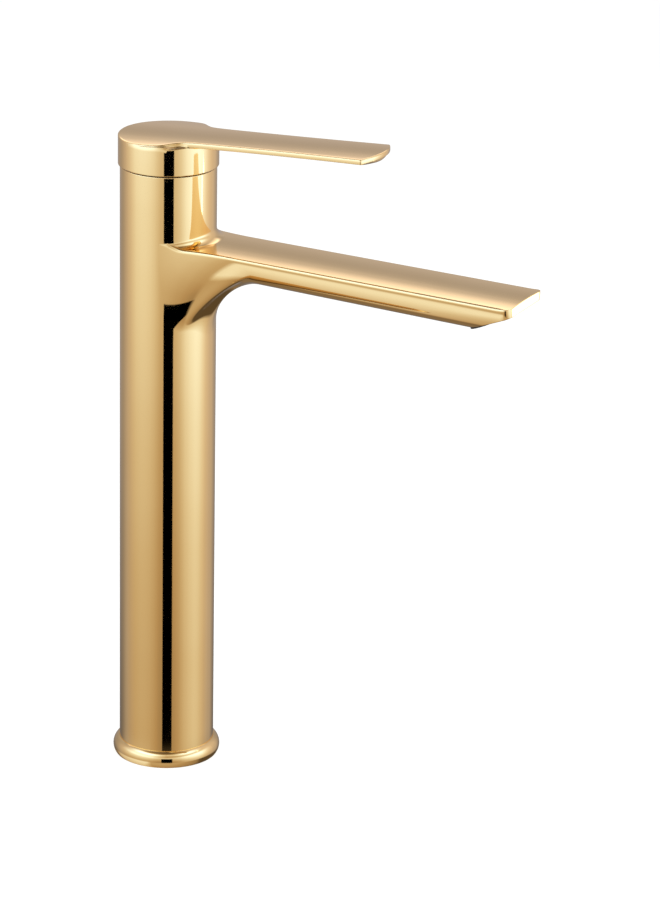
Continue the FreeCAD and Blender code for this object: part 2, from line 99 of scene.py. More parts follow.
# Light of the tent's cloth. Turns go once round the axis from behind the object, so 0.5 faces the camera;
# heights and places are in metres. Each table pairs them with levels.
SIDE_LEVELS = (
    (0.06, 0.26), (0.128, 0.31), (0.186, 0.42), (0.231, 0.49), (0.269, 0.56), (0.303, 0.60),
    (0.333, 0.61), (0.364, 0.59), (0.392, 0.55), (0.419, 0.48), (0.447, 0.39), (0.475, 0.36),
    (0.53, 0.38), (0.558, 0.43), (0.586, 0.53), (0.611, 0.66), (0.642, 0.77), (0.672, 0.85),
    (0.703, 0.88), (0.736, 0.79), (0.775, 0.62), (0.822, 0.51), (0.883, 0.42), (0.94, 0.30))
FRONT_LEVELS = (
    (-0.33, 0.38), (-0.22, 0.40), (-0.175, 0.42), (-0.089, 0.50), (-0.008, 0.61), (0.104, 0.77),
    (0.134, 0.80), (0.20, 0.96), (0.28, 0.95), (0.36, 0.62), (0.44, 0.50), (0.52, 0.60),
    (0.65, 0.95), (0.9, 0.9), (1.1, 0.45), (1.3, 0.14))
LIMB_LEVELS = ((-0.33, 0.38), (-0.175, 0.46), (-0.089, 0.50), (0.134, 0.60), (0.3, 0.62))
LEFT_HIGH_LEVELS = ((0.1, 0.0), (0.3, 0.5), (0.45, 1.0), (0.8, 0.8), (1.1, 0.0))
BACK_LEVELS = (
    (-0.33, 0.06), (-0.18, 0.10), (-0.09, 0.13), (0.0, 0.16), (0.1, 0.165), (0.38, 0.23),
    (0.43, 0.21), (0.47, 0.205), (0.5, 0.25), (0.53, 0.36), (0.58, 0.66), (0.62, 0.70),
    (0.75, 0.62), (0.95, 0.25), (1.3, 0.08))
GROUND_LEVELS = (
    (-0.6, 0.95), (-0.43, 1.0), (-0.268, 0.9), (-0.124, 0.76), (0.03, 0.62), (0.12, 0.48),
    (0.18, 0.21), (0.35, 0.17))
LEFT_TURNS = (0.5, 0.4)
LIMB_TURNS = ((0.275, 0.185), (0.735, 0.815))  # each pair: where a kind of cloth starts and where it is full
BACK_TURNS = ((0.17, 0.09), (0.86, 0.94))
SLIT_TURNS = ((0.4704, 0.4714), (0.5350, 0.5340))
SLIT_TOP = (0.170, 0.155)
GROUND_JOIN = (-0.24, -0.325)
GROUND_LEFT = (-0.05, -0.14)
GROUND_RIGHT_SHARE = 0.45
TABLE_GAIN = 2.0
LEFT_HIGH_GAIN = 0.8
LIMB_TINT = (2.24, 2.0, 2.04)
BACK_TINT = (2.16, 2.0, 2.12)
HUE_FLOOR = 0.35  # dimmer cloth keeps the hue of this level
RED_GAIN, RED_POWER = 0.92, -0.35
BLUE_GAIN, BLUE_POWER = 1.15, 0.5

# The studio; places and lengths are in metres
TENT_LOW, TENT_HIGH = -0.33, 1.1
TENT_POINTS, DOME_ROWS = 97, 17
DOME_RISE = 0.5  # height of the dome as a share of the tent's radius
FLOOR_HALF = 4.0
FLOOR_SHADE = 0.3  # share of the floor's colour that answers to the lamps
FLOOR_GLOW = 0.8  # what the camera sees of it in any light
CARD_X, CARD_Y, CARD_Z = (0.218, 0.252), 0.095, (0.198, 0.232)
CARD_LEVEL = 3.0
LAMP_AIM = (0.05, 0.0, 0.15)
LAMPS = (
    ("key_box", (-0.9, -1.1, 1.1), 0.9),
    ("fill_box", (1.3, -0.7, 1.0), 0.9),
    ("top_box", (0.1, 0.3, 1.6), 1.2))
FRAME_WIDTH = 36.0  # of the camera, in millimetres
SIGHT = 20.0  # how far the camera sees


def linear(code):
    """Linear colour of an sRGB hex code: c / 12.92 near black, else ((c + 0.055) / 1.055) ** 2.4."""
    srgb = np.array([int(code[i:i + 2], 16) for i in (0, 2, 4)]) / 255
    return tuple(np.where(srgb <= 0.04045, srgb / 12.92, ((srgb + 0.055) / 1.055) ** 2.4).tolist())


def colour(name, description, code):
    """A colour property whose default is an sRGB hex code."""
    return bpy.props.FloatVectorProperty(
        name=name, description=description, subtype="COLOR", size=3, min=0, max=1, default=linear(code))


class MixerColours(bpy.types.PropertyGroup):
    """Colours of the mixer's finishes."""

    gold: colour("Gold", "Polished gold plating", "FFE1A4")
    gold_deep: colour("Deep gold", "Where the plating is a little thicker", "FCDA98")
    brass: colour("Brass", "Machined brass of the hidden pieces", "D8B878")
    steel: colour("Steel", "Turned stainless steel", "C4C4C6")
    rubber: colour("Rubber", "Moulded black rubber", "1B1B1C")
    acetal_grey: colour("Grey acetal", "Cartridge shell and slider", "7C7E82")
    acetal_white: colour("White acetal", "Cartridge rotor", "DDDCD6")
    acetal_black: colour("Black acetal", "Aerator", "2A2522")
    acetal_red: colour("Red acetal", "Hot limit ring", "B8281C")
    ceramic: colour("Ceramic", "Lapped alumina discs", "EDEAE0")
    plug: colour("Plug", "Gold-coloured plug at the back", "E2BE78")
    floor: colour("Floor", "Pale studio floor", "FCFCFB")


def length(name, description, millimetres):
    """A length property whose default is given in millimetres."""
    return bpy.props.FloatProperty(
        name=name, description=description, unit="LENGTH", default=millimetres / 1000)


class MixerSizes(bpy.types.PropertyGroup):
    """Sizes of the plated skins, in the frame of the solids."""

    column_r: length("Column radius", "Outside of the column", 22.5)
    foot_z: length("Foot", "Lower end of the column", 1.8)
    rim_z: length("Rim", "Upper end of the column", 292.8)
    rim_lip: length("Rim lip", "Width of the lip outside the groove below the cap", 0.4)
    groove_z: length("Groove", "Floor of the groove below the cap", 291.2)
    bore_r: length("Bore radius", "Inside of the column", 19.5)
    bore_top_z: length("Bore top", "Where the hose passage ends", 226.0)
    chamber_r: length("Chamber radius", "Bore round the cartridge", 17.6)
    chamber_z: length("Chamber floor", "Where the cartridge stands", 257.5)
    shoulder_z: length("Shoulder", "Step below the cartridge nut", 279.0)
    spout_top_z: length("Spout top", "Height of the spout's middle line on the axis", 260.0)
    spout_droop: bpy.props.FloatProperty(
        name="Droop", description="Fall of the spout's top", subtype="ANGLE", default=math.radians(0.94))
    spout_reach: length("Spout reach", "From the axis to the nose", 182.5)
    root_half_width: length("Root half width", "Half width of the spout on the axis", 16.9)
    tip_half_width: length("Tip half width", "Half width of the spout at the nose", 17.9)
    root_depth: length("Root depth", "Depth of the spout on the axis", 15.2)
    tip_depth: length("Tip depth", "Depth of the spout at the nose", 17.3)
    fillet_r: length("Fillet", "Ball that rolls between column and spout, below the spout", 30.0)
    side_fillet_r: length("Side fillet", "Ball that rolls between column and spout, beside the spout", 100.0)
    spout_round: length("Spout rounding", "Rounding along the spout's top edges", 1.3)
    fillet_power: bpy.props.IntProperty(
        name="Fillet change", description="Power of cos u by which the side fillet turns into the lower",
        default=5, min=1)
    heel_r: length("Heel", "Cove between neck and spout", 4.5)
    heel_fade: bpy.props.FloatProperty(
        name="Heel fade", description="Share of the heel's radius that is lost at the sides",
        default=0.6, max=0.9)
    nose_r: length("Nose corner", "Rounding of the nose's upright edges", 3.0)
    nose_height: length("Nose height", "Height of the upright face at the tip", 4.6)
    undercut: bpy.props.FloatProperty(
        name="Undercut", description="Slope of the face under the nose", subtype="ANGLE",
        default=math.radians(24))
    aerator_from_tip: length("Aerator place", "From the nose to the aerator's centre", 18.0)
    socket_r: length("Aerator socket", "Radius of the aerator's socket", 9.0)
    socket_depth: length("Socket depth", "Depth of the aerator's socket", 6.6)
    crown_r: length("Crown", "Radius of the crowned tops, across the spout and the lever", 240.0)
    cap_r: length("Cap radius", "Outside of the lever's cap", 23.4)
    cap_z: length("Cap foot", "Lower end of the cap", 293.6)
    cap_lip: length("Cap lip", "Flat lip at the cap's lower edge", 0.4)
    cap_bore_r: length("Cap bore", "Inside of the cap", 20.6)
    cap_bevel: length("Cap bevel", "Height of the bevel inside the lip", 3.2)
    cap_ceiling_z: length("Cap ceiling", "Inside top of the cap", 302.5)
    lever_top_z: length("Lever top", "Height of the lever's middle line on the axis", 308.7)
    lever_rise: bpy.props.FloatProperty(
        name="Rise", description="Rise of the lever's top", subtype="ANGLE", default=math.radians(3.1))
    lever_reach: length("Lever reach", "From the axis to the lever's end", 110.6)
    lever_edge: length("Lever edge", "Thickness of the lever at its sides", 2.5)
    lever_belly: length("Lever belly", "How far the underside bows down in the middle", 1.9)
    lever_round: length("Lever rounding", "Rounding along the lever's top edge", 0.6)
    waist_half_width: length("Waist", "Half width of the lever where it is narrowest", 13.8)
    waist_x: length("Waist place", "From the axis to the lever's narrowest place", 55.0)
    waist_from: length("Waist start", "Where the lever begins to narrow towards its waist", 18.0)
    waist_curve: bpy.props.FloatProperty(
        name="Waist curve", description="Factor on the squared distance from the waist that widens it",
        default=0.4)
    s_curve_x: length("S-curve place", "From the axis to the middle of the S-curve", 10.5)
    s_curve_length: length("S-curve length", "Length over which the S-curve turns", 2.2)
    s_curve_width: length("S-curve width", "How far the S-curve widens the lever at the cap", 8.65)
    corner_soft: length("Outline corners", "Softness of the corners in the lever's outline", 0.3)
    end_bow_r: length("End bow", "Radius of the lever's bowed end", 24.9)
    belly_fade: length("Belly fade", "Half width below which the lever's underside bows less", 6.0)
    ledge_width: length("Ledge cove", "Width of the cove between cap and lever", 3.0)
    cove_x: length("Cove place", "From the axis to where the cove begins", 8.0)
    cove_length: length("Cove start", "Length over which the cove takes over from a rounded edge", 4.0)
    plug_r: length("Plug radius", "Plug at the back of the cap", 2.9)
    plug_z: length("Plug height", "Level of the plug", 299.5)
    plug_dome: length("Plug dome", "How far the plug's middle stands out from the cap", 0.2)
    plug_drop: bpy.props.FloatProperty(
        name="Plug drop", description="Share of the dome's squared height that is lost at the rim",
        default=0.96, max=1.0)


class MixerStage(bpy.types.PropertyGroup):
    """Camera and studio."""

    camera_place: bpy.props.FloatVectorProperty(
        name="Camera place", description="Where the camera stands", subtype="TRANSLATION", unit="LENGTH",
        default=(0.966934, -1.746481, 0.874651))
    camera_heading: bpy.props.FloatProperty(
        name="Heading", description="Turn of the view from +Y towards -X", subtype="ANGLE",
        default=math.radians(26.772))
    camera_pitch: bpy.props.FloatProperty(
        name="Pitch", description="How far the view looks down", subtype="ANGLE",
        default=math.radians(19.859))
    camera_roll: bpy.props.FloatProperty(
        name="Roll", description="Lean of the picture", subtype="ANGLE", default=math.radians(0.964))
    lens: bpy.props.FloatProperty(
        name="Lens", description="Focal length in millimetres on a 36 mm frame", default=180.0, min=1.0)
    tent_radius: bpy.props.FloatProperty(
        name="Tent radius", description="Radius of the light tent that the metal mirrors", unit="LENGTH",
        default=0.6, min=0.3)
    tent_level: bpy.props.FloatProperty(
        name="Tent level", description="Brightness of the tent in reflections", default=1.0, min=0.0)
    lamp_power: bpy.props.FloatProperty(
        name="Lamp power", description="Power of each soft box", unit="POWER", default=14.0, min=0.0)


def add_node(tree, kind, sockets=None, **fields):
    """Adds a node, sets its fields, and sets or links its input sockets by name."""
    made = tree.nodes.new(kind)
    for key, value in fields.items():
        setattr(made, key, value)
    for name, value in (sockets or {}).items():
        if isinstance(value, bpy.types.NodeSocket):
            tree.links.new(value, made.inputs[name])
        else:
            made.inputs[name].default_value = value
    return made


def new_material(name):
    """An empty node material and its tree."""
    material = bpy.data.materials.new(name)
    material.use_nodes = True
    material.node_tree.nodes.clear()
    return material, material.node_tree


def per_mm(size):
    """Noise scale, in features per metre, for a feature size in millimetres."""
    return 1000.0 / size


def rgba(c):
    """Opaque colour."""
    return (*c, 1.0)


def gold_plating(colours):
    """Gold plating on polished brass: a mirror whose tone and polish drift a little over centimetres."""
    material, tree = new_material("gold_plated_brass")
    place = add_node(tree, "ShaderNodeTexCoord").outputs["Object"]
    drift = add_node(tree, "ShaderNodeTexNoise", {"Vector": place, "Scale": per_mm(45), "Detail": 2.0})
    tone = add_node(tree, "ShaderNodeMix", {
        "Factor": drift.outputs["Fac"], "A": rgba(colours.gold), "B": rgba(colours.gold_deep)},
        data_type="RGBA")
    haze = add_node(tree, "ShaderNodeTexNoise", {"Vector": place, "Scale": per_mm(7), "Detail": 4.0})
    polish = add_node(tree, "ShaderNodeMapRange", {
        "Value": haze.outputs["Fac"], "From Min": 0.3, "From Max": 0.75, "To Min": 0.03, "To Max": 0.065})
    edge = add_node(tree, "ShaderNodeBevel", {"Radius": 0.0006}, samples=6)
    skin = add_node(tree, "ShaderNodeBsdfPrincipled", {
        "Base Color": tone.outputs[2], "Roughness": polish.outputs["Result"],
        "Normal": edge.outputs["Normal"], "Metallic": 1.0})
    add_node(tree, "ShaderNodeOutputMaterial", {"Surface": skin.outputs["BSDF"]})
    return material


def turned_metal(name, base, roughness, lay):
    """Metal left from the lathe: fine rings of tool marks about the axis, drawn coarser than life to show."""
    material, tree = new_material(name)
    place = add_node(tree, "ShaderNodeTexCoord").outputs["Object"]
    marks = add_node(tree, "ShaderNodeTexWave", {
        "Vector": place, "Scale": per_mm(lay) / WAVE_RADIANS, "Distortion": 0.6, "Detail": 2.0},
        bands_direction="Z")
    stain = add_node(tree, "ShaderNodeTexNoise", {"Vector": place, "Scale": per_mm(12), "Detail": 3.0})
    tone = add_node(tree, "ShaderNodeMix", {
        "Factor": stain.outputs["Fac"], "A": rgba([STAIN_SHARE * c for c in base]), "B": rgba(base)},
        data_type="RGBA")
    finish = add_node(tree, "ShaderNodeMapRange", {
        "Value": marks.outputs["Fac"],
        "To Min": roughness - MARK_ROUGHNESS, "To Max": roughness + MARK_ROUGHNESS})
    relief = add_node(tree, "ShaderNodeBump", {
        "Height": marks.outputs["Fac"], "Strength": 0.1, "Distance": 0.0001})
    skin = add_node(tree, "ShaderNodeBsdfPrincipled", {
        "Base Color": tone.outputs[2], "Roughness": finish.outputs["Result"],
        "Normal": relief.outputs["Normal"], "Metallic": 1.0})
    add_node(tree, "ShaderNodeOutputMaterial", {"Surface": skin.outputs["BSDF"]})
    return material


def moulded(name, base, roughness, ior, grain):
    """Moulded plastic, rubber or ceramic: a fine grain from the mould and a slight drift of tone."""
    material, tree = new_material(name)
    place = add_node(tree, "ShaderNodeTexCoord").outputs["Object"]
    pores = add_node(tree, "ShaderNodeTexNoise", {"Vector": place, "Scale": per_mm(grain), "Detail": 5.0})
    drift = add_node(tree, "ShaderNodeTexNoise", {"Vector": place, "Scale": per_mm(15), "Detail": 2.0})
    tone = add_node(tree, "ShaderNodeMix", {
        "Factor": drift.outputs["Fac"], "A": rgba([DRIFT_SHARE * c for c in base]), "B": rgba(base)},
        data_type="RGBA")
    finish = add_node(tree, "ShaderNodeMapRange", {
        "Value": pores.outputs["Fac"],
        "To Min": roughness - GRAIN_ROUGHNESS, "To Max": roughness + GRAIN_ROUGHNESS})
    relief = add_node(tree, "ShaderNodeBump", {
        "Height": pores.outputs["Fac"], "Strength": 0.15, "Distance": 0.0001})
    skin = add_node(tree, "ShaderNodeBsdfPrincipled", {
        "Base Color": tone.outputs[2], "Roughness": finish.outputs["Result"],
        "Normal": relief.outputs["Normal"], "IOR": ior})
    add_node(tree, "ShaderNodeOutputMaterial", {"Surface": skin.outputs["BSDF"]})
    return material


def finish_nodes(material, *names):
    """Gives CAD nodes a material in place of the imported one."""
    for name in names:
        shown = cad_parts[name]
        shown.data.materials.clear()
        shown.data.materials.append(material)


def grid_faces(rows, columns):
    """Quads of a rows by columns grid of points, counted row by row."""
    first = (np.arange(rows - 1)[:, None] * columns + np.arange(columns - 1)[None, :]).ravel()
    return np.stack([first, first + 1, first + columns + 1, first + columns], axis=1)


def joined(name, grids, material):
    """One mesh object from several grids of points, welded where their borders meet, with its edges sharp."""
    starts = np.cumsum([0] + [g.shape[0] * g.shape[1] for g in grids])
    points = np.concatenate([g.reshape(-1, 3) for g in grids])
    faces = np.concatenate([grid_faces(*g.shape[:2]) + start for g, start in zip(grids, starts)])
    mesh = bpy.data.meshes.new(name)
    mesh.from_pydata(points, [], faces.tolist())
    shell = bmesh.new()
    shell.from_mesh(mesh)
    bmesh.ops.remove_doubles(shell, verts=shell.verts, dist=WELD)
    bmesh.ops.recalc_face_normals(shell, faces=shell.faces)
    shell.to_mesh(mesh)
    shell.free()
    mesh.shade_smooth()
    mesh.set_sharp_from_angle(angle=SHARP)
    mesh.materials.append(material)
    made = bpy.data.objects.new(name, mesh)
    bpy.context.scene.collection.objects.link(made)
    return made


def mirrored(grid):
    """The same grid on the other side of the plane through the spout."""
    return grid * np.array([1, -1, 1])


def turned(profile, angles):
    """Surface of revolution: a profile of (radius, height) pairs carried round the column's axis."""
    r, z = np.array(profile).T[:, :, None]
    return np.stack([r * np.cos(angles), r * np.sin(angles), z + 0 * angles], axis=-1)


def between(low, high, count):
    """Evenly spaced values between two rows of numbers, one row for each step."""
    share = np.linspace(0, 1, count)[:, None]
    return low + (high - low) * share


def spout_line(s, x):
    """Sloping middle line of the spout's top: its height on the axis less x times the droop."""
    return s.spout_top_z - x * math.tan(s.spout_droop)


def crowned_top(s, x, y):
    """Spout top: the middle line less y squared over twice the crown's radius, plus the heel's quarter-round
    cove, whose radius shrinks towards the sides."""
    r = s.heel_r * (1 - s.heel_fade * np.minimum((y / s.column_r) ** 2, 1))
    inside = np.clip(s.column_r + r - np.hypot(x, y), 0, r)
    heel = r - np.sqrt(r ** 2 - inside ** 2)
    return spout_line(s, x) - y * y / (2 * s.crown_r) + heel


def plain_half_width(s, x):
    """Half width of the spout, growing evenly from the axis to the nose."""
    return s.root_half_width + (s.tip_half_width - s.root_half_width) * x / s.spout_reach


def half_width(s, x):
    """Half width drawn in by a quarter circle at the nose's upright edges."""
    into = np.clip(x - s.spout_reach + s.nose_r, 0, s.nose_r)
    return plain_half_width(s, x) - s.nose_r + np.sqrt(s.nose_r ** 2 - into ** 2)


def belly_centre(s, x):
    """Height of the belly's centre line: the top's middle line less the depth plus the half width."""
    depth = s.root_depth + (s.tip_depth - s.root_depth) * x / s.spout_reach
    return spout_line(s, x) - depth + plain_half_width(s, x)


def belly(s, x, u):
    """Near side of the spout: a circle of the half width about the belly's centre, from its side, u = 0,
    to its foot."""
    w = half_width(s, x)
    return np.stack([x + 0 * u, -w * np.cos(u), belly_centre(s, x) - w * np.sin(u)], axis=-1)


def fillet(s, u, t):
    """Rolling-ball fillet: the arc, t from 0 to 1, between the points where a ball touches the column and the
    spout. The ball's centre lies a ball's radius outside both; below u = 0 it rises straight up. The radius
    shrinks from the side to the foot with a power of cos u."""
    c = np.cos(np.maximum(u, 0))
    n = np.sin(np.maximum(u, 0))
    f = s.fillet_r + (s.side_fillet_r - s.fillet_r) * c ** s.fillet_power
    x = s.column_r + f + 0 * u
    for _ in range(BALL_ROUNDS):
        x = np.sqrt((s.column_r + f) ** 2 - ((plain_half_width(s, x) + f) * c) ** 2)
    w = plain_half_width(s, x)
    ball = np.stack([x, -(w + f) * c, belly_centre(s, x) - (w + f) * n - w * np.minimum(u, 0)], axis=-1)
    to_column = ball * np.array([-1, -1, 0]) / (s.column_r + f)[..., None]
    to_spout = np.stack([0 * u, c, n], axis=-1)
    span = np.arccos((to_column * to_spout).sum(axis=-1))[..., None]
    t = (t + 0 * u)[..., None]
    arc = (np.sin((1 - t) * span) * to_column + np.sin(t * span) * to_spout) / np.sin(span)
    return ball + f[..., None] * arc


def edge_angle(s, surface, like):
    """Angle at which a wall meets the crowned top, by halvings of a range, for each entry of an array."""
    low, high = (np.full_like(like, angle) for angle in WALL_ANGLES)
    for _ in range(HALVINGS):
        middle = (low + high) / 2
        x, y, z = np.moveaxis(surface(middle), -1, 0)
        above = z > crowned_top(s, x, y)
        low = np.where(above, middle, low)
        high = np.where(above, high, middle)
    return (low + high) / 2


def undercut_z(s, x):
    """Height of the slanted face under the nose."""
    nose = spout_line(s, s.spout_reach) - s.nose_height
    return nose - (s.spout_reach - x) * math.tan(s.undercut)


def spout_rows(s):
    """Where the undercut starts, and where the spout's cross rows lie: up to there, then closer, then round
    the nose's edges."""
    start = s.spout_reach - s.aerator_from_tip
    for _ in range(START_ROUNDS):
        foot = belly_centre(s, start) - plain_half_width(s, start)
        start = start + (foot - undercut_z(s, start)) / math.tan(s.undercut)
    straight = s.spout_reach - s.nose_r
    near = np.linspace(EVEN_X, start, NEAR_ROWS)[1:]
    slant = start + (straight - start) * np.linspace(0, 1, SLANT_ROWS)[1:] ** 2
    nose = straight + s.nose_r * np.sin(np.linspace(0, math.pi / 2, NOSE_ROWS)[1:])
    return start, np.concatenate([near, slant, nose])


def rounded_edge(s, blend, wall, share):
    """Draws the walls in along their top edge by a quarter circle: at a depth d below the edge,
    r - sqrt(r^2 - (r - d)^2) towards the top's middle, where r is a share of the full rounding."""
    both = np.concatenate([blend, wall])
    edge = both[:, 0].copy()
    along = np.gradient(edge[:, :2], axis=0)
    along /= np.linalg.norm(along, axis=1)[:, None]
    r = (s.spout_round * share * share * (3 - 2 * share))[:, None]
    lack = np.clip(r - (edge[:, 2:] - both[..., 2]), 0, r)
    drawn = r - np.sqrt(r * r - lack * lack)
    both[..., 0] -= drawn * along[:, 1:]
    both[..., 1] += drawn * along[:, :1]
    top = crowned_top(s, both[:, 0, 0], both[:, 0, 1]) - edge[:, 2]
    both[..., 2] += top[:, None] * lack / np.maximum(r, TINY)
    return both[:len(blend)], both[len(blend):]


def body_grids(s):
    """Outer and inner surfaces of column and spout, near side first. The spout's wall carries on the fillet's
    rows. The column runs straight down from the fillet, and the neck straight up from the spout's top."""
    early = np.linspace(0, 1, EDGE_POINTS) ** 2
    late = np.linspace(0, 1, SIDE_POINTS)
    t = np.linspace(0, 1, FILLET_ROWS)[:, None] ** 2
    u_edge = edge_angle(s, lambda u: fillet(s, u, t), t)
    u_turn = u_edge - u_edge[0] * (1 - t) + EDGE_BAND * t
    u_near = u_edge + (u_turn - u_edge) * early
    u_far = u_turn + (math.pi / 2 - u_turn) * late
    u = np.concatenate([u_near, u_far[:, 1:]], axis=1)
    blend = fillet(s, u, t)

    share = (u[-1] - u[-1, 0]) / (math.pi / 2 - u[-1, 0])
    x_first = between(blend[-1, :, 0], EVEN_X, TAPER_ROWS)
    start, x_next = spout_rows(s)
    x = np.concatenate([x_first, np.repeat(x_next[:, None], len(share), axis=1)])
    x_edge = x[:, :1]
    top_u = edge_angle(s, lambda v: belly(s, x_edge, v), x_edge)
    cut = np.clip((belly_centre(s, x_edge) - undercut_z(s, x_edge)) / half_width(s, x_edge), -1, 1)
    foot_u = np.where(x_edge > start, np.arcsin(cut), math.pi / 2)
    wall = belly(s, x, top_u + (foot_u - top_u) * share)
    wall[0] = blend[-1]

    share_blend = np.minimum(t[:, 0] / ROUND_SHARE, 1)
    share_wall = np.clip((s.spout_reach - wall[:, 0, 0]) / NOSE_FADE, 0, 1)
    blend, wall = rounded_edge(s, blend, wall, np.concatenate([share_blend, share_wall]))

    foot = blend[0, len(early) - 1:]
    lowest = foot * np.array([1, 1, 0]) + np.array([0, 0, s.foot_z])
    lower = lowest + (foot - lowest) * np.linspace(0, 1, COLUMN_ROWS)[:, None, None]

    across = np.concatenate([foot[:, 1], -foot[-2::-1, 1]]) / -foot[0, 1]
    rim_line = np.concatenate([blend[:, 0], wall[1:, 0]])
    bulge = np.sqrt(s.column_r ** 2 - (across * foot[0, 1]) ** 2) - foot[0, 0]
    fade = np.clip((rim_line[:, :1] - rim_line[0, 0]) / TOP_FADE, 0, 1)
    top_x = rim_line[:, :1] + (1 - fade * fade * (3 - 2 * fade)) * bulge
    top_y = -rim_line[:, 1:2] * across
    top = np.stack([top_x, top_y, crowned_top(s, top_x, top_y)], axis=-1)

    rim = top[0] * np.array([1, 1, 0]) + np.array([0, 0, s.rim_z])
    neck = top[0] + (rim - top[0]) * np.linspace(0, 1, NECK_ROWS)[:, None, None]
    border = np.concatenate([lower[:, 0, 2], blend[0, len(early) - 2::-1, 2], neck[1:, 0, 2]])
    first = math.atan2(foot[0, 1], foot[0, 0])
    behind = np.linspace(-first, 2 * math.pi + first, BACK_POINTS)
    back = turned(np.stack([s.column_r + 0 * border, border], axis=1), behind)

    end_y = wall[-1, :, 1]
    sides = np.linspace(-1, 1, len(across)) * -end_y[:, None]
    fall = 1 - np.linspace(0, 1, len(end_y))[:, None]
    end_y_rows = np.where(fall == 1, across * -end_y[0], sides)
    crown = crowned_top(s, s.spout_reach, end_y_rows) - wall[-1, 0, 2]
    nose = np.stack([s.spout_reach + 0 * sides, end_y_rows, wall[-1, :, 2:] + crown * fall], axis=-1)

    slant_edge = wall[x[:, 0] >= start - TINY, -1]
    loop = np.concatenate([slant_edge, nose[-1, 1:], mirrored(slant_edge)[-2::-1]])
    along = np.array([math.cos(s.undercut), 0, math.sin(s.undercut)])
    out = np.array([math.sin(s.undercut), 0, -math.cos(s.undercut)])
    x_hole = s.spout_reach - s.aerator_from_tip
    hole = np.array([x_hole, 0, undercut_z(s, x_hole)])
    angle = np.arctan2(loop[:, 1], (loop - hole) @ along)[:, None]
    ring = hole + s.socket_r * (np.cos(angle) * along + np.sin(angle) * np.array([0, 1, 0]))
    under = np.stack([loop, ring])
    socket = np.stack([ring, ring - out * s.socket_depth, 0 * ring + hole - out * s.socket_depth])

    before = np.arctan2(foot[:, 1], foot[:, 0])
    angles = np.concatenate([before, -before[-2::-1], behind[1:]])
    groove_r = s.column_r - s.rim_lip
    chamber = turned([
        (s.column_r, s.rim_z), (groove_r, s.rim_z), (groove_r, s.groove_z), (s.bore_r, s.groove_z),
        (s.bore_r, s.shoulder_z), (s.chamber_r, s.shoulder_z), (s.chamber_r, s.chamber_z),
        (0, s.chamber_z)], angles)
    passage = turned([
        (s.column_r, s.foot_z), (s.bore_r, s.foot_z), (s.bore_r, s.bore_top_z), (0, s.bore_top_z)], angles)
    halves = [blend, wall, lower]
    return halves + [mirrored(g) for g in halves] + [top, neck, back, nose, under, socket, chamber, passage]


def smooth_least(a, b, soft):
    """The lesser of two values, rounded over where they cross: -k log(exp(-a / k) + exp(-b / k))."""
    least = np.minimum(a, b)
    return least - soft * np.log1p(np.exp(-np.abs(a - b) / soft))


def lever_half_width(s, x):
    """Half width of the lever: a waisted blade that swells in an S-curve, w / (1 + exp((x - a) / b)), towards
    the cap, held inside the cap's circle behind and a bowed end in front."""
    waist = s.waist_half_width + s.waist_curve * (np.maximum(x, s.waist_from) - s.waist_x) ** 2
    side = waist + s.s_curve_width / (1 + np.exp((x - s.s_curve_x) / s.s_curve_length))
    circle = np.sqrt(np.maximum(s.cap_r ** 2 - x * x, 0))
    side = np.where(x < CAP_X, smooth_least(side, circle, s.corner_soft), side)
    bow = np.sqrt(np.maximum(2 * s.end_bow_r * (s.lever_reach - x), 0))
    end = np.maximum(smooth_least(side, bow, s.corner_soft), 0)
    return np.where(x > END_X, end, np.where(x < 0, np.minimum(side, circle), side))


def lever_line(s, x):
    """Sloping middle line of the lever's top."""
    return s.lever_top_z + x * math.tan(s.lever_rise)


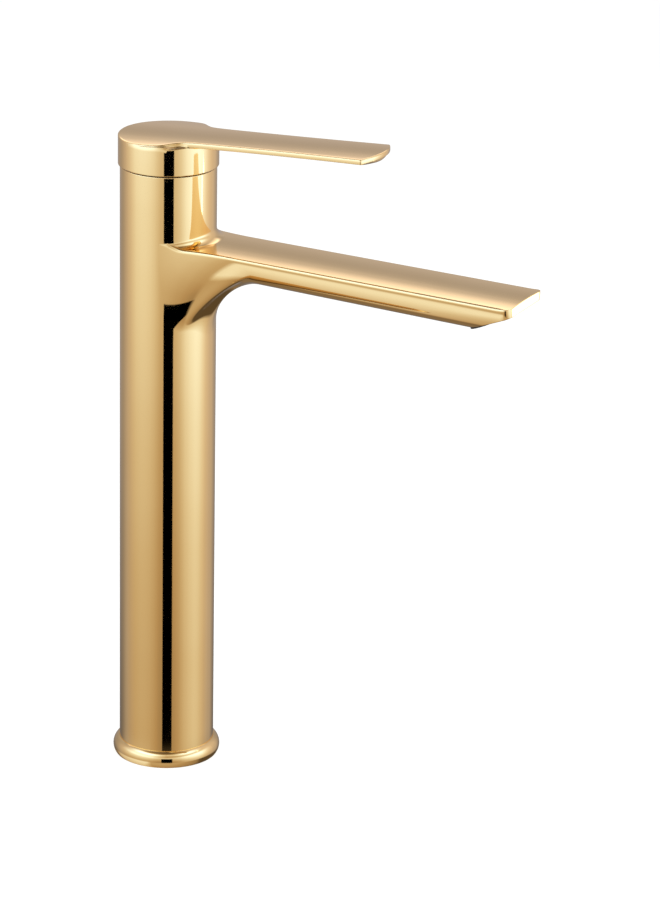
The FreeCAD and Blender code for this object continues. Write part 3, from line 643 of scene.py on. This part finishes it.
def lever_grids(s):
    """Lever and cap. The top is the middle line less y squared over twice the crown's radius. At a distance d
    outside the lever's outline the ledge falls by h sqrt(1 - (1 - d / w)^2) in its cove of depth h and width
    w, and by m (1 - sqrt(1 - (d / g)^2)) where the edge is rounded over, g being the gap to the cap's wall
    and m the lesser of g and h. The underside bows down by its belly times 1 - q^2, with q from -1 to 1
    across, and less where the lever is narrow."""
    turn = np.linspace(0, math.pi, OUTLINE_POINTS)
    x = (s.lever_reach - s.cap_r) / 2 - (s.lever_reach + s.cap_r) / 2 * np.cos(turn)
    y = lever_half_width(s, x)
    y[[0, -1]] = 0
    slope = np.stack([np.gradient(x, turn), np.gradient(y, turn)], axis=1)
    slope[[0, -1]] = [[0, 1], [0, -1]]
    slope /= np.linalg.norm(slope, axis=1)[:, None]
    normal = np.stack([-slope[:, 1], slope[:, 0]], axis=1)
    edge = np.stack([x, y], axis=1)

    def offset(distance):
        """The lever's outline moved outwards by a distance."""
        moved = edge + normal * distance
        moved[:, 1] = np.maximum(moved[:, 1], 0)
        moved[[0, -1], 1] = 0
        return moved

    r = s.lever_round
    inner = offset(-r)
    level = lever_line(s, inner[:, 0]) - inner[:, 1] ** 2 / (2 * s.crown_r)
    share = np.linspace(-1, 1, ACROSS_POINTS)
    top_y = share * inner[:, 1:]
    top_x = inner[:, :1] + 0 * top_y
    top = np.stack([top_x, top_y, lever_line(s, top_x) - top_y ** 2 / (2 * s.crown_r)], axis=-1)
    bend = np.linspace(0, math.pi / 2, ROUND_POINTS)
    rounded = np.stack([
        np.column_stack([offset(-r + r * math.sin(b)), level - r + r * math.cos(b)]) for b in bend], axis=1)

    reach = np.hypot(x, y)
    along = (edge * normal).sum(axis=1)
    gap = np.maximum(-along + np.sqrt(np.maximum(along ** 2 - reach ** 2 + s.cap_r ** 2, 0)), 0)
    crossing = np.argmax((x > CAP_X) & (reach > s.cap_r))
    widest = np.argmax(gap[:crossing])
    depth = s.lever_edge - r
    gap = gap[:crossing, None]
    width = np.minimum(s.ledge_width, np.maximum(gap, LEAST_COVE))
    width[:widest] = s.ledge_width
    step = np.linspace(0, 1, LEDGE_POINTS) ** 2 * gap
    cove = depth * np.sqrt(1 - np.maximum(1 - step / width, 0) ** 2)
    over = np.minimum(gap, depth) * (1 - np.sqrt(np.maximum(1 - (step / np.maximum(gap, TINY)) ** 2, 0)))
    turn_in = np.clip((x[:crossing, None] - s.cove_x) / s.cove_length, 0, 1)
    turn_in = turn_in * turn_in * (3 - 2 * turn_in)
    fall = over + (cove - over) * turn_in
    ledge_xy = edge[:crossing, None] + normal[:crossing, None] * step[..., None]
    ledge = np.concatenate([ledge_xy, (level[:crossing, None] - r - fall)[..., None]], axis=-1)

    brow = ledge[:, -1]
    front = np.linspace(math.atan2(brow[-1, 1], brow[-1, 0]), 0, FRONT_POINTS)[1:]
    front_x = s.cap_r * np.cos(front)
    front_y = s.cap_r * np.sin(front)
    under_level = lever_line(s, front_x) - s.lever_edge - brow[-1, 1] ** 2 / (2 * s.crown_r)
    brow = np.concatenate([brow, np.stack([front_x, front_y, under_level], axis=1)])
    base = brow * np.array([1, 1, 0]) + np.array([0, 0, s.cap_z])
    cap = base + (brow - base) * np.linspace(0, 1, CAP_ROWS)[:, None, None]

    late = slice(crossing - LAP_ROWS, None)
    bend = np.linspace(0, math.pi / 2, FLANK_POINTS)
    flank = np.stack([
        np.column_stack([offset(-r + r * math.cos(b)), level - s.lever_edge + r - r * math.sin(b)])
        for b in bend], axis=1)[late]
    flank = np.concatenate([rounded[late, -1:], flank], axis=1)
    foot = flank[:, -1]
    under_y = share * foot[:, 1:2]
    bow = s.lever_belly * (1 - np.exp(-(foot[:, 1:2] / s.belly_fade) ** 2)) * (1 - share ** 2)
    under = np.stack([foot[:, :1] + 0 * under_y, under_y, foot[:, 2:] - bow], axis=-1)

    around = np.arctan2(base[:, 1], base[:, 0])
    angles = np.concatenate([around, -around[-2::-1]])
    inside = turned([
        (s.cap_r, s.cap_z), (s.cap_r - s.cap_lip, s.cap_z), (s.cap_bore_r, s.cap_z + s.cap_bevel),
        (s.cap_bore_r, s.cap_ceiling_z), (0, s.cap_ceiling_z)], angles)
    halves = [rounded, ledge, cap, flank]
    return halves + [mirrored(g) for g in halves] + [top, under, inside]


def plug_grid(s):
    """Slightly domed plug on the back of the cap: rings about its axis, raised from the cap by the dome's
    height times sqrt(1 - drop q^2), with q from 0 in the middle to 1 at the rim."""
    ring = np.linspace(0, 1, PLUG_RINGS)[:, None]
    turn = np.linspace(0, 2 * math.pi, PLUG_POINTS)
    y = s.plug_r * ring * np.cos(turn)
    z = s.plug_z + s.plug_r * ring * np.sin(turn)
    x = -np.sqrt(s.cap_r ** 2 - y * y) - s.plug_dome * np.sqrt(1 - s.plug_drop * ring ** 2)
    return np.stack([x, y, z], axis=-1)


class MIXER_OT_body(bpy.types.Operator):
    """Build the plated column and spout, and finish the base ring and the bonnet"""

    bl_idname = "mixer.body"
    bl_label = "Column and spout"

    def execute(self, context):
        plating = gold_plating(context.scene.mixer_colours)
        skin = joined("column_and_spout", body_grids(context.scene.mixer_sizes), plating)
        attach(skin, "body")
        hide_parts("body_casting")
        finish_nodes(plating, "base_ring", "bonnet")
        return {"FINISHED"}


class MIXER_OT_lever(bpy.types.Operator):
    """Build the plated lever with its cap, and the plug at its back"""

    bl_idname = "mixer.lever"
    bl_label = "Lever and plug"

    def execute(self, context):
        sizes = context.scene.mixer_sizes
        skin = joined("lever_and_cap", lever_grids(sizes), bpy.data.materials["gold_plated_brass"])
        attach(skin, "lever")
        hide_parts("lever_handle")
        colours = context.scene.mixer_colours
        gloss = moulded("gold_coloured_abs", colours.plug, roughness=0.25, ior=1.54, grain=0.5)
        plug = joined("back_plug", [plug_grid(sizes)], gloss)
        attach(plug, "lever")
        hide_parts("index_plug")
        return {"FINISHED"}


class MIXER_OT_inner(bpy.types.Operator):
    """Finish the cartridge, the fixing plate, the seals and the aerator"""

    bl_idname = "mixer.inner"
    bl_label = "Inner pieces"

    def execute(self, context):
        colours = context.scene.mixer_colours
        finish_nodes(turned_metal("turned_brass", colours.brass, roughness=0.28, lay=0.5),
                     "foot_plate", "cartridge_nut")
        finish_nodes(turned_metal("turned_stainless_steel", colours.steel, roughness=0.3, lay=0.4),
                     "lever_stem", "pivot_pin", "handle_set_screw")
        finish_nodes(moulded("moulded_nitrile_rubber", colours.rubber, roughness=0.55, ior=1.52, grain=0.4),
                     "base_gasket", "cartridge_port_seals", "disc_seals", "rotor_seal", "aerator_washer")
        finish_nodes(moulded("grey_acetal", colours.acetal_grey, roughness=0.4, ior=1.48, grain=0.5),
                     "cartridge_base", "cartridge_housing", "disc_carrier")
        finish_nodes(moulded("white_acetal", colours.acetal_white, roughness=0.4, ior=1.48, grain=0.5),
                     "cartridge_rotor")
        finish_nodes(moulded("black_acetal", colours.acetal_black, roughness=0.35, ior=1.48, grain=0.5),
                     "aerator_shell", "aerator_insert")
        finish_nodes(moulded("red_acetal", colours.acetal_red, roughness=0.4, ior=1.48, grain=0.5),
                     "hot_limit_ring")
        finish_nodes(moulded("lapped_alumina", colours.ceramic, roughness=0.2, ior=1.76, grain=0.3),
                     "fixed_disc", "moving_disc")
        return {"FINISHED"}


def tent_points(radius):
    """Tent: a flat ground, an upright wall and a dome whose radius and height follow (cos u, sin u) of a
    quarter turn."""
    turn = np.linspace(0, 2 * math.pi, TENT_POINTS)
    rise = np.linspace(0, math.pi / 2, DOME_ROWS)
    r = np.concatenate([[0, radius], radius * np.cos(rise)])
    z = np.concatenate([[TENT_LOW, TENT_LOW], TENT_HIGH + DOME_RISE * radius * np.sin(rise)])
    return np.stack([r[:, None] * np.sin(turn), -r[:, None] * np.cos(turn), z[:, None] + 0 * turn], axis=-1)


def ramp(tree, value, stops):
    """A smooth curve of levels through (value, level) pairs, flat outside them."""
    low, high = stops[0][0], stops[-1][0]
    share = add_node(tree, "ShaderNodeMapRange", {"Value": value, "From Min": low, "From Max": high})
    made = add_node(tree, "ShaderNodeValToRGB", {"Fac": share.outputs["Result"]})
    made.color_ramp.interpolation = "CARDINAL"
    while len(made.color_ramp.elements) < len(stops):
        made.color_ramp.elements.new(0.5)
    for element, (position, level) in zip(made.color_ramp.elements, stops):
        element.position = (position - low) / (high - low)
        element.color = (level, level, level, 1.0)
    return made.outputs["Color"]


def step_up(tree, value, start, end):
    """Rises from 0 to 1 as a value goes from start to end."""
    return add_node(tree, "ShaderNodeMapRange", {
        "Value": value, "From Min": start, "From Max": end}).outputs["Result"]


def maths(tree, operation, a, b):
    """Sum, product, power and the like of two values."""
    return add_node(tree, "ShaderNodeMath", {0: a, 1: b}, operation=operation).outputs["Value"]


def blended(tree, share, a, b):
    """Colour between a and b."""
    return add_node(tree, "ShaderNodeMix", {"Factor": share, "A": a, "B": b}, data_type="RGBA").outputs[2]


def lamp_light(tree, level):
    """Light of a level: red and blue are level times a gain and a power of the level, so dim cloth is warmer
    than bright; below a floor the hue stays."""
    held = maths(tree, "MAXIMUM", level, HUE_FLOOR)

    def channel(gain, power):
        """One colour's share of the light."""
        hue = maths(tree, "MULTIPLY", maths(tree, "POWER", held, power), gain)
        return maths(tree, "MULTIPLY", level, hue)

    return add_node(tree, "ShaderNodeCombineColor", {
        "Red": channel(RED_GAIN, RED_POWER), "Green": level,
        "Blue": channel(BLUE_GAIN, BLUE_POWER)}).outputs["Color"]


def tinted(tree, tint, level):
    """A tint times a level."""
    return add_node(tree, "ShaderNodeVectorMath", {0: tint, 1: level}, operation="MULTIPLY").outputs["Vector"]


def tent_material(stage):
    """Lit cloth of the tent: bright at both sides, dimmer behind, a lit ground in front of the object, and a
    dark slit where the camera looks in."""
    material, tree = new_material("tent_cloth")
    place = add_node(tree, "ShaderNodeTexCoord").outputs["Object"]
    facing = math.atan2(stage.camera_place[0], -stage.camera_place[1])
    aimed = add_node(tree, "ShaderNodeMapping", {"Vector": place, "Rotation": (0, 0, math.pi / 2 - facing)})
    turn = add_node(tree, "ShaderNodeTexGradient", {"Vector": aimed.outputs["Vector"]},
                    gradient_type="RADIAL").outputs["Fac"]
    axes = add_node(tree, "ShaderNodeSeparateXYZ", {"Vector": place})
    height = axes.outputs["Z"]

    # The front, its upper left and the warm fall of light down the wall
    sides = ramp(tree, turn, SIDE_LEVELS)
    front = maths(tree, "MULTIPLY", sides, ramp(tree, height, FRONT_LEVELS))
    level = maths(tree, "MULTIPLY", front, TABLE_GAIN)
    left_share = step_up(tree, turn, *LEFT_TURNS)
    left_high = maths(tree, "MULTIPLY", ramp(tree, height, LEFT_HIGH_LEVELS), left_share)
    level = maths(tree, "ADD", level, maths(tree, "MULTIPLY", left_high, LEFT_HIGH_GAIN))

    # Evener, whiter cloth abreast of the object, and the dim back
    limb = maths(tree, "MAXIMUM", *(step_up(tree, turn, *pair) for pair in LIMB_TURNS))
    abreast = tinted(tree, LIMB_TINT, maths(tree, "MULTIPLY", sides, ramp(tree, height, LIMB_LEVELS)))
    walls = blended(tree, limb, lamp_light(tree, level), abreast)
    behind = maths(tree, "MAXIMUM", *(step_up(tree, turn, *pair) for pair in BACK_TURNS))
    walls = blended(tree, behind, walls, tinted(tree, BACK_TINT, ramp(tree, height, BACK_LEVELS)))

    # The slit, open up to a height
    slit = maths(tree, "MULTIPLY", *(step_up(tree, turn, *pair) for pair in SLIT_TURNS))
    slit = maths(tree, "MULTIPLY", slit, step_up(tree, height, *SLIT_TOP))
    walls = blended(tree, slit, walls, (0, 0, 0, 1))

    # The ground, brighter to the left, and its join with the wall
    left = add_node(tree, "ShaderNodeMapRange", {
        "Value": axes.outputs["X"], "From Min": GROUND_LEFT[0], "From Max": GROUND_LEFT[1],
        "To Min": GROUND_RIGHT_SHARE, "To Max": 1.0})
    ground = maths(tree, "MULTIPLY", ramp(tree, axes.outputs["Y"], GROUND_LEVELS), left.outputs["Result"])
    lit = blended(tree, step_up(tree, height, *GROUND_JOIN), walls, lamp_light(tree, ground))
    glow = add_node(tree, "ShaderNodeEmission", {"Color": lit, "Strength": stage.tent_level})
    add_node(tree, "ShaderNodeOutputMaterial", {"Surface": glow.outputs["Emission"]})
    return material


def upright_card(x, y, z):
    """Corners of an upright card between two x and two z, at one y."""
    return np.array([[(x[0], y, z[0]), (x[1], y, z[0])], [(x[0], y, z[1]), (x[1], y, z[1])]])


def card_material(level):
    """White bounce card, seen only in the metal."""
    material, tree = new_material("bounce_card")
    glow = add_node(tree, "ShaderNodeEmission", {"Strength": level})
    add_node(tree, "ShaderNodeOutputMaterial", {"Surface": glow.outputs["Emission"]})
    return material


def floor_material(colours):
    """Matt pale floor that a camera sees as near white, with the shadows left in."""
    material, tree = new_material("studio_floor")
    path = add_node(tree, "ShaderNodeLightPath")
    seen = maths(tree, "MULTIPLY", path.outputs["Is Camera Ray"], FLOOR_GLOW)
    cloth = add_node(tree, "ShaderNodeBsdfDiffuse", {"Color": rgba([FLOOR_SHADE * c for c in colours.floor])})
    glow = add_node(tree, "ShaderNodeEmission", {"Color": rgba(colours.floor), "Strength": seen})
    both = add_node(tree, "ShaderNodeAddShader", {0: cloth.outputs["BSDF"], 1: glow.outputs["Emission"]})
    add_node(tree, "ShaderNodeOutputMaterial", {"Surface": both.outputs["Shader"]})
    return material


def white_world(world):
    """White behind the object for the camera, mirrors and glass, and a soft fill for the rest."""
    world.use_nodes = True
    tree = world.node_tree
    tree.nodes.clear()
    path = add_node(tree, "ShaderNodeLightPath")
    mirror = maths(tree, "MAXIMUM", path.outputs["Is Camera Ray"], path.outputs["Is Glossy Ray"])
    clear = maths(tree, "MAXIMUM", mirror, path.outputs["Is Transmission Ray"])
    level = add_node(tree, "ShaderNodeMapRange", {"Value": clear, "To Min": 0.5, "To Max": 1.0})
    sky = add_node(tree, "ShaderNodeBackground", {"Color": (1, 1, 1, 1), "Strength": level.outputs["Result"]})
    add_node(tree, "ShaderNodeOutputWorld", {"Surface": sky.outputs["Background"]})


def soft_box(name, place, aim, size, power):
    """A square lamp at a place, facing a point, kept out of the mirror finish."""
    data = bpy.data.lights.new(name, "AREA")
    data.energy = power
    data.size = size
    made = bpy.data.objects.new(name, data)
    made.location = place
    made.rotation_euler = (Vector(aim) - Vector(place)).to_track_quat("-Z", "Y").to_euler()
    made.visible_glossy = False
    bpy.context.scene.collection.objects.link(made)


class MIXER_OT_stage(bpy.types.Operator):
    """Set up the floor, the light tent, the lamps and the camera"""

    bl_idname = "mixer.stage"
    bl_label = "Stage"

    def execute(self, context):
        scene = context.scene
        stage = scene.mixer_stage
        scene.view_settings.view_transform = "Standard"
        scene.world = scene.world or bpy.data.worlds.new("studio")
        white_world(scene.world)

        side = np.array([-FLOOR_HALF, FLOOR_HALF])
        flat = np.stack([*np.meshgrid(side, side), np.zeros((2, 2))], axis=-1)
        floor = joined("studio_floor", [flat], floor_material(scene.mixer_colours))
        floor.visible_glossy = False
        tent = joined("light_tent", [tent_points(stage.tent_radius)], tent_material(stage))
        card = joined("bounce_card", [upright_card(CARD_X, CARD_Y, CARD_Z)], card_material(CARD_LEVEL))
        for lit in (tent, card):
            lit.visible_camera = False
            lit.visible_diffuse = False
            lit.visible_shadow = False
            lit.visible_transmission = False

        for name, spot, size in LAMPS:
            soft_box(name, spot, LAMP_AIM, size, stage.lamp_power)

        forward = Vector((-math.sin(stage.camera_heading) * math.cos(stage.camera_pitch),
                          math.cos(stage.camera_heading) * math.cos(stage.camera_pitch),
                          -math.sin(stage.camera_pitch)))
        level = Vector((math.cos(stage.camera_heading), math.sin(stage.camera_heading), 0))
        down = forward.cross(level)
        right = math.cos(stage.camera_roll) * level - math.sin(stage.camera_roll) * down
        up = -(math.sin(stage.camera_roll) * level + math.cos(stage.camera_roll) * down)
        data = bpy.data.cameras.new("view")
        data.lens = stage.lens
        data.sensor_width = FRAME_WIDTH
        data.clip_end = SIGHT
        camera = bpy.data.objects.new("view", data)
        camera.matrix_world = Matrix.Translation(stage.camera_place) @ Matrix(
            (right, up, -forward)).transposed().to_4x4()
        scene.collection.objects.link(camera)
        scene.camera = camera
        return {"FINISHED"}


class MIXER_PT_panel(bpy.types.Panel):
    """Lists the mixer's colours, pieces and stage"""

    bl_idname = "MIXER_PT_panel"
    bl_label = "Tall basin mixer"
    bl_space_type = "VIEW_3D"
    bl_region_type = "UI"
    bl_category = "Mixer"

    def draw(self, context):
        for kind in operators:
            self.layout.operator(kind.bl_idname)
        for group in (context.scene.mixer_colours, context.scene.mixer_sizes, context.scene.mixer_stage):
            box = self.layout.box()
            for name in group.bl_rna.properties.keys():
                if name not in ("rna_type", "name"):
                    box.prop(group, name)


operators = (MIXER_OT_body, MIXER_OT_lever, MIXER_OT_inner, MIXER_OT_stage)
classes = (MixerColours, MixerSizes, MixerStage, *operators, MIXER_PT_panel)


def register():
    """Adds the classes and the scene's settings."""
    for kind in classes:
        bpy.utils.register_class(kind)
    bpy.types.Scene.mixer_colours = bpy.props.PointerProperty(type=MixerColours)
    bpy.types.Scene.mixer_sizes = bpy.props.PointerProperty(type=MixerSizes)
    bpy.types.Scene.mixer_stage = bpy.props.PointerProperty(type=MixerStage)


def unregister():
    """Takes the settings and classes out again."""
    del bpy.types.Scene.mixer_stage
    del bpy.types.Scene.mixer_sizes
    del bpy.types.Scene.mixer_colours
    for kind in reversed(classes):
        bpy.utils.unregister_class(kind)


def main():
    """Registers the add-on, and builds every piece and the stage."""
    register()
    bpy.ops.mixer.body()
    bpy.ops.mixer.lever()
    bpy.ops.mixer.inner()
    bpy.ops.mixer.stage()
    bpy.context.view_layer.update()


if __name__ == "__main__":
    main()
